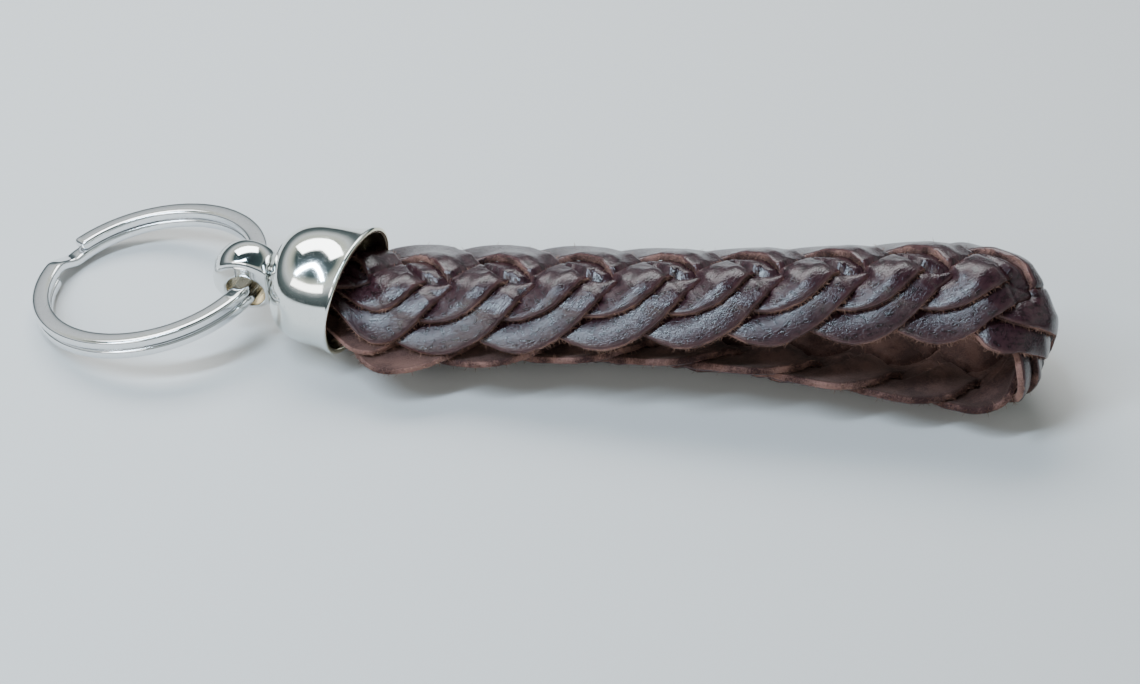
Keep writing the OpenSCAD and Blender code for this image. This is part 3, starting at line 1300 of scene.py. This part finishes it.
@dataclass
class Lace:
    """One flat lace of the braid, followed from end to end.

    Attributes:
        surface: the strap's middle surface.
        plan: the flat braid.
        family: which family it belongs to.
        turn: which of the family's three laces it is.
        heights: the family's settled height map.
        ends: length left off at each end of the strap.
        step: between cross-sections.
        drawn: how far the middle of the braid is drawn towards the near edge.
        reach: distance from the middle at which nothing is drawn over.
        phase: where the braid's pattern starts past the cap's mouth.
        crown: how far the middle of the lace stands up from its edges.
        floor: lowest height that it may reach.
    """

    surface: StrapSurface
    plan: BraidPlan
    family: Family
    turn: int
    heights: np.ndarray
    ends: float = 0.9
    step: float = 0.33
    drawn: float = 1.1
    reach: float = 9.5
    phase: float = 0.3
    crown: float = 0.2
    floor: float = 0.03

    def mesh(self) -> MeshData:
        """Sweeps the lace's section along its path.

        Returns:
            Grain side in material 0, flesh side in 1 and cut edges in 2.
        """
        first = self.surface.mouth_s + self.phase
        count = int((self.surface.length - 2 * self.ends) / self.step)
        s = np.linspace(self.ends, self.surface.length - self.ends, count)
        across = np.array([0.0, 0.2, 0.4, 0.6, 0.76, 0.87, 0.94, 0.985, 1.0])
        top_v = np.concatenate([-across[::-1], across[1:]])
        n = len(top_v)
        v = np.concatenate([top_v, top_v[::-1]])
        up = np.concatenate([np.ones(n), -np.ones(n)])
        t = (s - first) / self.plan.pitch - self.turn
        angle = np.arctan(self.plan.slope(t))[:, None]
        squeeze = self.surface.squeezed(s)[:, None]
        line = np.stack([s, 0 * s, 0 * s], axis=1)
        wobble = lumps(line, 7.0, 11 + self.turn + 3 * self.family.value)
        half = self.plan.width / 2.0 * (0.8 + 0.2 * squeeze) * (1.0 + 0.035 * wobble[:, None])
        ragged = lumps(line, 0.9, 31 + self.turn)[:, None]
        reach = half * v[None, :] + 0.06 * ragged * (np.abs(v[None, :]) > 0.9) * np.sign(v[None, :])
        place_s = s[:, None] - reach * np.sin(angle)
        place_u = self.plan.side(self.family, t)[:, None] + reach * np.cos(angle)
        h = self.plan.read(self.heights, place_s - first - self.turn * self.plan.pitch, place_u)
        crown = self.crown * (1.0 - v**2)
        round_off = 1.0 - np.clip((np.abs(v) - 0.87) / 0.13, 0.0, 1.0) ** 2.2 * 0.34
        thick = self.plan.thick * (0.94 + 0.04 * wobble[:, None])
        sheet = 0.72 + 0.28 * smooth(0.5, 0.9, squeeze)
        off = h * sheet + crown[None, :] + up[None, :] * thick * sheet / 2.0 * round_off[None, :]
        drawn = self.drawn * squeeze * np.clip(1.0 - (place_u / self.reach) ** 2, 0.0, 1.0)
        flat_s, flat_u = place_s.ravel(), (place_u - drawn).ravel()
        points = self.surface.point(np.clip(flat_s, 0.05, self.surface.length - 0.05), flat_u, off.ravel())
        points[:, 2] = np.maximum(points[:, 2], self.floor)
        columns = 2 * n
        faces = [f[::-1] for f in grid_faces(count, columns, False, True)]
        place = np.arange(len(faces)) % columns
        edge = (np.abs(v[place]) > 0.95) & (np.abs(v[(place + 1) % columns]) > 0.95)
        slots = np.where(edge, 2, np.where(place < n, 0, 1)).astype(np.int32)
        faces += [tuple(range(columns)), tuple(range((count - 1) * columns, count * columns))[::-1]]
        slots = np.concatenate([slots, [2, 2]]).astype(np.int32)
        uv_along = np.repeat(s, columns) + 50.0 * self.turn
        uv_across = np.tile(v * 2.5, count) + 7.0 * self.family.value
        uv = np.stack([uv_along, uv_across], axis=1)
        rub = np.tile(np.clip((np.abs(v) - 0.8) / 0.2, 0.0, 1.0) ** 1.5, count)
        return MeshData(points, faces, slots, uv, {"rub": rub})


# ---- geometry nodes ----------------------------------------------------------------------------


class GeometryTree:
    """A Geometry Nodes tree built in the script, with named inputs."""

    def __init__(self, name: str, inputs: Sequence[tuple[str, str]]) -> None:
        """Makes the tree with a Geometry input first.

        Args:
            name: the tree's name.
            inputs: (name, socket type) of the further inputs.
        """
        self.tree = bpy.data.node_groups.new(name, "GeometryNodeTree")
        face = self.tree.interface
        face.new_socket("Geometry", in_out="INPUT", socket_type="NodeSocketGeometry")
        self.ids = {}
        for label, kind in inputs:
            self.ids[label] = face.new_socket(label, in_out="INPUT", socket_type=kind).identifier
        face.new_socket("Geometry", in_out="OUTPUT", socket_type="NodeSocketGeometry")
        self.sheet = NodeSheet(self.tree)
        self.source = self.sheet.add("NodeGroupInput")
        self.out = self.sheet.add("NodeGroupOutput")

    def finish(self, last: bpy.types.NodeSocket) -> None:
        """Realizes, finishes and outputs the geometry.

        Args:
            last: the geometry to end with.
        """
        real = self.sheet.add("GeometryNodeRealizeInstances")
        paint = self.sheet.add("GeometryNodeSetMaterial")
        self.sheet.link(last, real.inputs[0])
        self.sheet.link(real.outputs[0], paint.inputs["Geometry"])
        self.sheet.link(self.source.outputs["Material"], paint.inputs["Material"])
        self.sheet.link(paint.outputs[0], self.out.inputs[0])

    def run(self, name: str, base: bpy.types.Mesh, values: dict[str, object]) -> bpy.types.Object:
        """Runs the tree on a mesh and keeps the result as plain mesh.

        Args:
            name: the new object's name.
            base: what the tree starts from.
            values: value of each named input.

        Returns:
            A mesh object at the origin.
        """
        carrier = bpy.data.objects.new(name + "_source", base)
        bpy.context.scene.collection.objects.link(carrier)
        modifier = carrier.modifiers.new(name, "NODES")
        modifier.node_group = self.tree
        for label, value in values.items():
            modifier[self.ids[label]] = value
        carrier.update_tag()
        graph = bpy.context.evaluated_depsgraph_get()
        mesh = bpy.data.meshes.new_from_object(carrier.evaluated_get(graph))
        carrier.modifiers.remove(modifier)
        bpy.data.objects.remove(carrier)
        obj = bpy.data.objects.new(name, mesh)
        bpy.context.scene.collection.objects.link(obj)
        LOG.info("%s: %d vertices, %d faces", name, len(mesh.vertices), len(mesh.polygons))
        return obj


@dataclass
class Whipping:
    """Waxed thread wound round the strap's ends inside the cap.

    Attributes:
        start: x of the first turn.
        length: of the wound band.
        radius: of the band, to the thread's middle.
        thread: radius of the thread.
        turns: how often it goes round.
    """

    start: float = -5.6
    length: float = 1.2
    radius: float = 6.35
    thread: float = 0.19
    turns: float = 3.2

    def build(self, material: bpy.types.Material, axis_z: float) -> bpy.types.Object:
        """Winds the thread with a spiral swept by a round section.

        Args:
            material: the thread's finish.
            axis_z: height of the cap's axis.

        Returns:
            The mesh object.
        """
        tree = GeometryTree("Whipping", [
            ("Turns", "NodeSocketFloat"), ("Radius", "NodeSocketFloat"), ("Length", "NodeSocketFloat"),
            ("Thread radius", "NodeSocketFloat"), ("Middle", "NodeSocketVector"),
            ("Material", "NodeSocketMaterial"),
        ])
        sheet = tree.sheet
        spiral = sheet.add("GeometryNodeCurveSpiral")
        spiral.inputs["Resolution"].default_value = 72
        sheet.link(tree.source.outputs["Turns"], spiral.inputs["Rotations"])
        sheet.link(tree.source.outputs["Radius"], spiral.inputs["Start Radius"])
        sheet.link(tree.source.outputs["Radius"], spiral.inputs["End Radius"])
        sheet.link(tree.source.outputs["Length"], spiral.inputs["Height"])
        section = sheet.add("GeometryNodeCurvePrimitiveCircle")
        section.inputs["Resolution"].default_value = 14
        sheet.link(tree.source.outputs["Thread radius"], section.inputs["Radius"])
        sweep = sheet.add("GeometryNodeCurveToMesh")
        sweep.inputs["Fill Caps"].default_value = True
        sheet.link(spiral.outputs[0], sweep.inputs["Curve"])
        sheet.link(section.outputs[0], sweep.inputs["Profile Curve"])
        place = sheet.add("GeometryNodeTransform")
        place.inputs["Rotation"].default_value = (0.0, math.pi / 2.0, 0.0)
        sheet.link(sweep.outputs[0], place.inputs["Geometry"])
        sheet.link(tree.source.outputs["Middle"], place.inputs["Translation"])
        tree.finish(place.outputs[0])
        base = bpy.data.meshes.new("whipping_base")
        middle = (np.array([self.start + self.thread, 0.0, axis_z]) + TO_FRAME) * MM
        return tree.run("whipping", base, {
            "Turns": self.turns,
            "Radius": self.radius * MM,
            "Length": (self.length - 2 * self.thread) * MM,
            "Thread radius": self.thread * MM,
            "Middle": tuple(float(c) for c in middle),
            "Material": material,
        })


@dataclass
class EdgeFibres:
    """Loose fibres that stand out of the laces' cut edges.

    Attributes:
        density: fibres per square metre of edge.
        length: mean length in millimetres.
        thick: of a fibre in millimetres.
        seed: picks their places and turns.
    """

    density: float = 9.0e6
    length: float = 0.42
    thick: float = 0.028
    seed: int = SEED

    def _strand(self) -> bpy.types.Mesh:
        """One bent, tapering fibre standing on the origin.

        Returns:
            Its mesh.
        """
        rows = []
        for k, (lift, bend) in enumerate(((0.0, 0.0), (0.4, 0.05), (0.75, 0.18), (1.0, 0.36))):
            wide = self.thick * (1.0 - 0.25 * k)
            for a in (0.0, 2.094, 4.189):
                rows.append((bend * self.length + wide * math.cos(a), wide * math.sin(a), lift * self.length))
        mesh = bpy.data.meshes.new("fibre_strand")
        mesh.from_pydata((np.array(rows) * MM).tolist(), [], grid_faces(4, 3, False, True))
        return mesh

    def build(self, laces: Sequence[bpy.types.Object], material: bpy.types.Material) -> bpy.types.Object:
        """Scatters strands over the faces of the cut edges.

        Args:
            laces: the lace objects, whose cut edges are in material slot 2.
            material: the fibres' finish.

        Returns:
            One mesh with every fibre.
        """
        points, faces, start = [], [], 0
        for lace in laces:
            co = np.zeros(len(lace.data.vertices) * 3, np.float32)
            lace.data.vertices.foreach_get("co", co)
            points.append(co.reshape(-1, 3))
            cut = [p for p in lace.data.polygons if p.material_index == 2 and len(p.vertices) == 4]
            faces += [tuple(start + i for i in p.vertices) for p in cut if p.center.z > 0.8 * MM]
            start += len(lace.data.vertices)
        base = bpy.data.meshes.new("cut_edges")
        base.from_pydata(np.concatenate(points).tolist(), [], faces)
        strand = bpy.data.objects.new("fibre_strand", self._strand())
        tree = GeometryTree("Edge fibres", [
            ("Strand", "NodeSocketObject"), ("Density", "NodeSocketFloat"), ("Seed", "NodeSocketInt"),
            ("Material", "NodeSocketMaterial"),
        ])
        sheet = tree.sheet
        scatter = sheet.add("GeometryNodeDistributePointsOnFaces")
        sheet.link(tree.source.outputs["Geometry"], scatter.inputs["Mesh"])
        sheet.link(tree.source.outputs["Density"], scatter.inputs["Density"])
        sheet.link(tree.source.outputs["Seed"], scatter.inputs["Seed"])
        info = sheet.add("GeometryNodeObjectInfo")
        sheet.link(tree.source.outputs["Strand"], info.inputs[0])
        stand = sheet.add("GeometryNodeInstanceOnPoints")
        sheet.link(scatter.outputs["Points"], stand.inputs["Points"])
        sheet.link(info.outputs["Geometry"], stand.inputs["Instance"])
        sheet.link(scatter.outputs["Rotation"], stand.inputs["Rotation"])
        size = sheet.add("FunctionNodeRandomValue", data_type="FLOAT")
        size.inputs[2].default_value = 0.35
        size.inputs[3].default_value = 1.5
        sheet.link(tree.source.outputs["Seed"], size.inputs["Seed"])
        sheet.link(size.outputs[1], stand.inputs["Scale"])
        lean = sheet.add("FunctionNodeRandomValue", data_type="FLOAT_VECTOR")
        lean.inputs[0].default_value = (-0.9, -0.9, -3.1)
        lean.inputs[1].default_value = (0.9, 0.9, 3.1)
        sheet.link(tree.source.outputs["Seed"], lean.inputs["Seed"])
        spin = sheet.add("GeometryNodeRotateInstances")
        sheet.link(stand.outputs[0], spin.inputs["Instances"])
        sheet.link(lean.outputs[0], spin.inputs["Rotation"])
        tree.finish(spin.outputs[0])
        obj = tree.run("lace_fibres", base, {
            "Strand": strand, "Density": self.density, "Seed": self.seed, "Material": material,
        })
        bpy.data.objects.remove(strand)
        return obj


# ---- studio ------------------------------------------------------------------------------------


@dataclass
class Studio:
    """Plain pale floor, soft lights and the camera.

    Attributes:
        azimuth: camera direction, in degrees.
        elevation: camera height angle, in degrees.
        distance: from the target, in millimetres.
        target: what it looks at, in millimetres from the cap's mouth.
        roll: of the camera, in degrees.
        lens: focal length in millimetres for a 36 mm sensor.
    """

    azimuth: float = 9.64
    elevation: float = 39.68
    distance: float = 263.4
    target: tuple[float, float, float] = (27.07, -3.01, 8.0)
    roll: float = 2.91
    lens: float = 69.47

    def camera(self) -> None:
        """Sets the camera at the view that the part was measured from."""
        az, el, roll = (math.radians(v) for v in (self.azimuth, self.elevation, self.roll))
        back = Vector((math.sin(az) * math.cos(el), -math.cos(az) * math.cos(el), math.sin(el)))
        right = Vector((math.cos(az), math.sin(az), 0.0))
        up = back.cross(right)
        across = right * math.cos(roll) + up * math.sin(roll)
        upright = up * math.cos(roll) - right * math.sin(roll)
        place = Vector(((np.array(self.target) + TO_FRAME) * MM).tolist()) + back * self.distance * MM
        data = bpy.data.cameras.new("camera")
        data.sensor_width = 36.0
        data.lens = self.lens
        data.clip_start = 0.01
        obj = bpy.data.objects.new("camera", data)
        bpy.context.scene.collection.objects.link(obj)
        basis = Matrix((across, upright, back)).transposed().to_4x4()
        obj.matrix_world = Matrix.Translation(place) @ basis
        bpy.context.scene.camera = obj

    def light(
        self, name: str, place: Sequence[float], aim: Sequence[float], size: tuple[float, float],
        watts: float, colour: Sequence[float],
    ) -> None:
        """Adds a softbox.

        Args:
            name: the light's name.
            place: its position in metres.
            aim: the point it faces.
            size: width and height in metres.
            watts: its power.
            colour: its colour.
        """
        data = bpy.data.lights.new(name, "AREA")
        data.shape = "RECTANGLE"
        data.size, data.size_y = size
        data.energy = watts
        data.color = colour
        obj = bpy.data.objects.new(name, data)
        bpy.context.scene.collection.objects.link(obj)
        direction = Vector(aim) - Vector(place)
        obj.matrix_world = Matrix.Translation(place) @ direction.to_track_quat("-Z", "Y").to_matrix().to_4x4()

    def build(self) -> None:
        """Makes the floor, the lights, the surroundings and the camera."""
        far = 1500.0
        floor = MeshData(
            np.array([[-far, -far, 0.0], [far, -far, 0.0], [far, far, 0.0], [-far, far, 0.0]]) - TO_FRAME,
            [(0, 1, 2, 3)], np.zeros(1, np.int32),
        )
        paper = bpy.data.materials.new("floor")
        paper.use_nodes = True
        shader = paper.node_tree.nodes["Principled BSDF"]
        shader.inputs["Base Color"].default_value = (0.60, 0.595, 0.585, 1.0)
        shader.inputs["Roughness"].default_value = 0.9
        floor.build("floor", [paper])
        self.light("key", (-0.12, 0.22, 0.36), (0.0, 0.0, 0.0), (0.42, 0.2), 2.2, (0.96, 0.985, 1.0))
        self.light("strip", (-0.17, -0.13, 0.36), (0.01, 0.0, 0.01), (0.045, 0.3), 2.2, (0.66, 0.83, 1.0))
        self.light("front", (-0.2, -0.34, 0.22), (-0.02, 0.0, 0.01), (0.3, 0.1), 0.5, (1.0, 0.99, 0.97))
        world = bpy.data.worlds.new("surroundings")
        world.use_nodes = True
        bpy.context.scene.world = world
        sheet = NodeSheet(world.node_tree)
        background = world.node_tree.nodes["Background"]
        coordinates = sheet.add("ShaderNodeTexCoord")
        split = sheet.add("ShaderNodeSeparateXYZ")
        sheet.link(coordinates.outputs["Generated"], split.inputs[0])
        sky = sheet.ramp(split.outputs[2], [
            (0.0, (0.06, 0.08, 0.085)), (0.24, (0.16, 0.2, 0.21)), (0.44, (0.92, 0.97, 1.0)),
            (0.6, (0.85, 0.88, 0.78)), (0.76, (0.06, 0.10, 0.105)), (1.0, (0.03, 0.05, 0.055)),
        ])
        sheet.link(sky, background.inputs[0])
        background.inputs[1].default_value = 0.9
        self.camera()


# ---- the whole object --------------------------------------------------------------------------


@dataclass
class Wristlet:
    """The keychain: metal parts, six laces and what holds them together.

    Attributes:
        groups: the shared effects its finishes use.
    """

    groups: ShaderGroups = field(default_factory=ShaderGroups)

    def finishes(self) -> dict[str, bpy.types.Material]:
        """Builds every finish.

        Returns:
            Materials by short name.
        """
        made: dict[str, Finish] = {
            "ring": PolishedMetal("Ring nickel", (0.80, 0.81, 0.82), 0.09),
            "eye": PolishedMetal("Eye nickel", (0.80, 0.81, 0.80), 0.08),
            "cap": PolishedMetal("Cap nickel", (0.80, 0.82, 0.79), 0.09),
            "rim": PolishedMetal("Rubbed rim", (0.79, 0.74, 0.56), 0.12),
            "inside": PolishedMetal("Unpolished inside", (0.42, 0.38, 0.30), 0.3),
            "hole": PolishedMetal("Worn hole", (0.50, 0.45, 0.34), 0.25),
            "steel": PolishedMetal("Washer steel", (0.55, 0.55, 0.55), 0.25),
            "grain": LeatherFace("Lace grain"),
            "flesh": RawLeather("Lace flesh side", (0.040, 0.019, 0.017), (0.115, 0.06, 0.05)),
            "cut": RawLeather("Lace cut edge", (0.034, 0.014, 0.014), (0.27, 0.145, 0.12), 0.0002),
            "fibre": RawLeather("Loose fibre", (0.10, 0.045, 0.032), (0.36, 0.21, 0.155)),
            "thread": Plain("Waxed thread", (0.10, 0.06, 0.035), (0.22, 0.14, 0.09)),
            "glue": Plain("Dried glue", (0.42, 0.30, 0.12), (0.62, 0.48, 0.24), 0.25, 250.0),
        }
        return {key: finish.build(self.groups) for key, finish in made.items()}

    def build(self) -> None:
        """Builds, places and hands over every piece."""
        finish = self.finishes()
        self._piece(SplitRing().mesh(), "ring_wire", [finish["ring"]], Body.RING, "split_ring", "ring_nickel")
        head = [finish["eye"], finish["hole"]]
        self._piece(SwivelEye().mesh(), "eye_head", head, Body.EYE, "swivel_eye", "eye_nickel")
        cap = EndCap()
        plate = [finish["cap"], finish["rim"], finish["inside"]]
        self._piece(cap.mesh(), "cap_bell", plate, Body.STRAP, "end_cap", "cap_nickel")
        thread = Whipping().build(finish["thread"], cap.axis_z)
        self._hand_over(thread, Body.STRAP, "whipping_thread", "waxed_thread")
        surface, plan = StrapSurface(), BraidPlan()
        heights = plan.heights()
        laces = []
        for family in Family:
            for turn in range(3):
                number = 3 * family.value + turn + 1
                lace = Lace(surface, plan, family, turn, heights[family]).mesh()
                laces.append(self._piece(
                    lace, f"strap_lace_{number}", [finish["grain"], finish["flesh"], finish["cut"]],
                    Body.STRAP, f"lace_{number}", "lace_leather",
                ))
        fibres = EdgeFibres().build(laces, finish["fibre"])
        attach(fibres, Body.STRAP.value)
        for node, key in (("swivel_washer", "steel"), ("glue_plug", "glue")):
            mesh = frame["nodes"][node].data
            mesh.materials.clear()
            mesh.materials.append(finish[key])

    def _piece(
        self, data: MeshData, name: str, materials: Sequence[bpy.types.Material], body: Body,
        node: str, slot: str,
    ) -> bpy.types.Object:
        """Builds a mesh and hands it over.

        Args:
            data: the mesh in millimetres.
            name: the object's name.
            materials: one per material index.
            body: the body it moves with.
            node: the CAD node it stands for.
            slot: the record's material slot.

        Returns:
            The object.
        """
        obj = data.build(name, materials)
        self._hand_over(obj, body, node, slot)
        return obj

    @staticmethod
    def _hand_over(obj: bpy.types.Object, body: Body, node: str, slot: str) -> None:
        """Hides the piece's CAD node and ties the piece to its body.

        Args:
            obj: the piece.
            body: the body it moves with.
            node: the CAD node it stands for.
            slot: the record's material slot; not used.
        """
        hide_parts(node)
        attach(obj, body.value)


def main() -> None:
    """Builds the object and its surroundings."""
    Wristlet().build()
    Studio().build()
    bpy.context.view_layer.update()


if __name__ == "__main__":
    main()
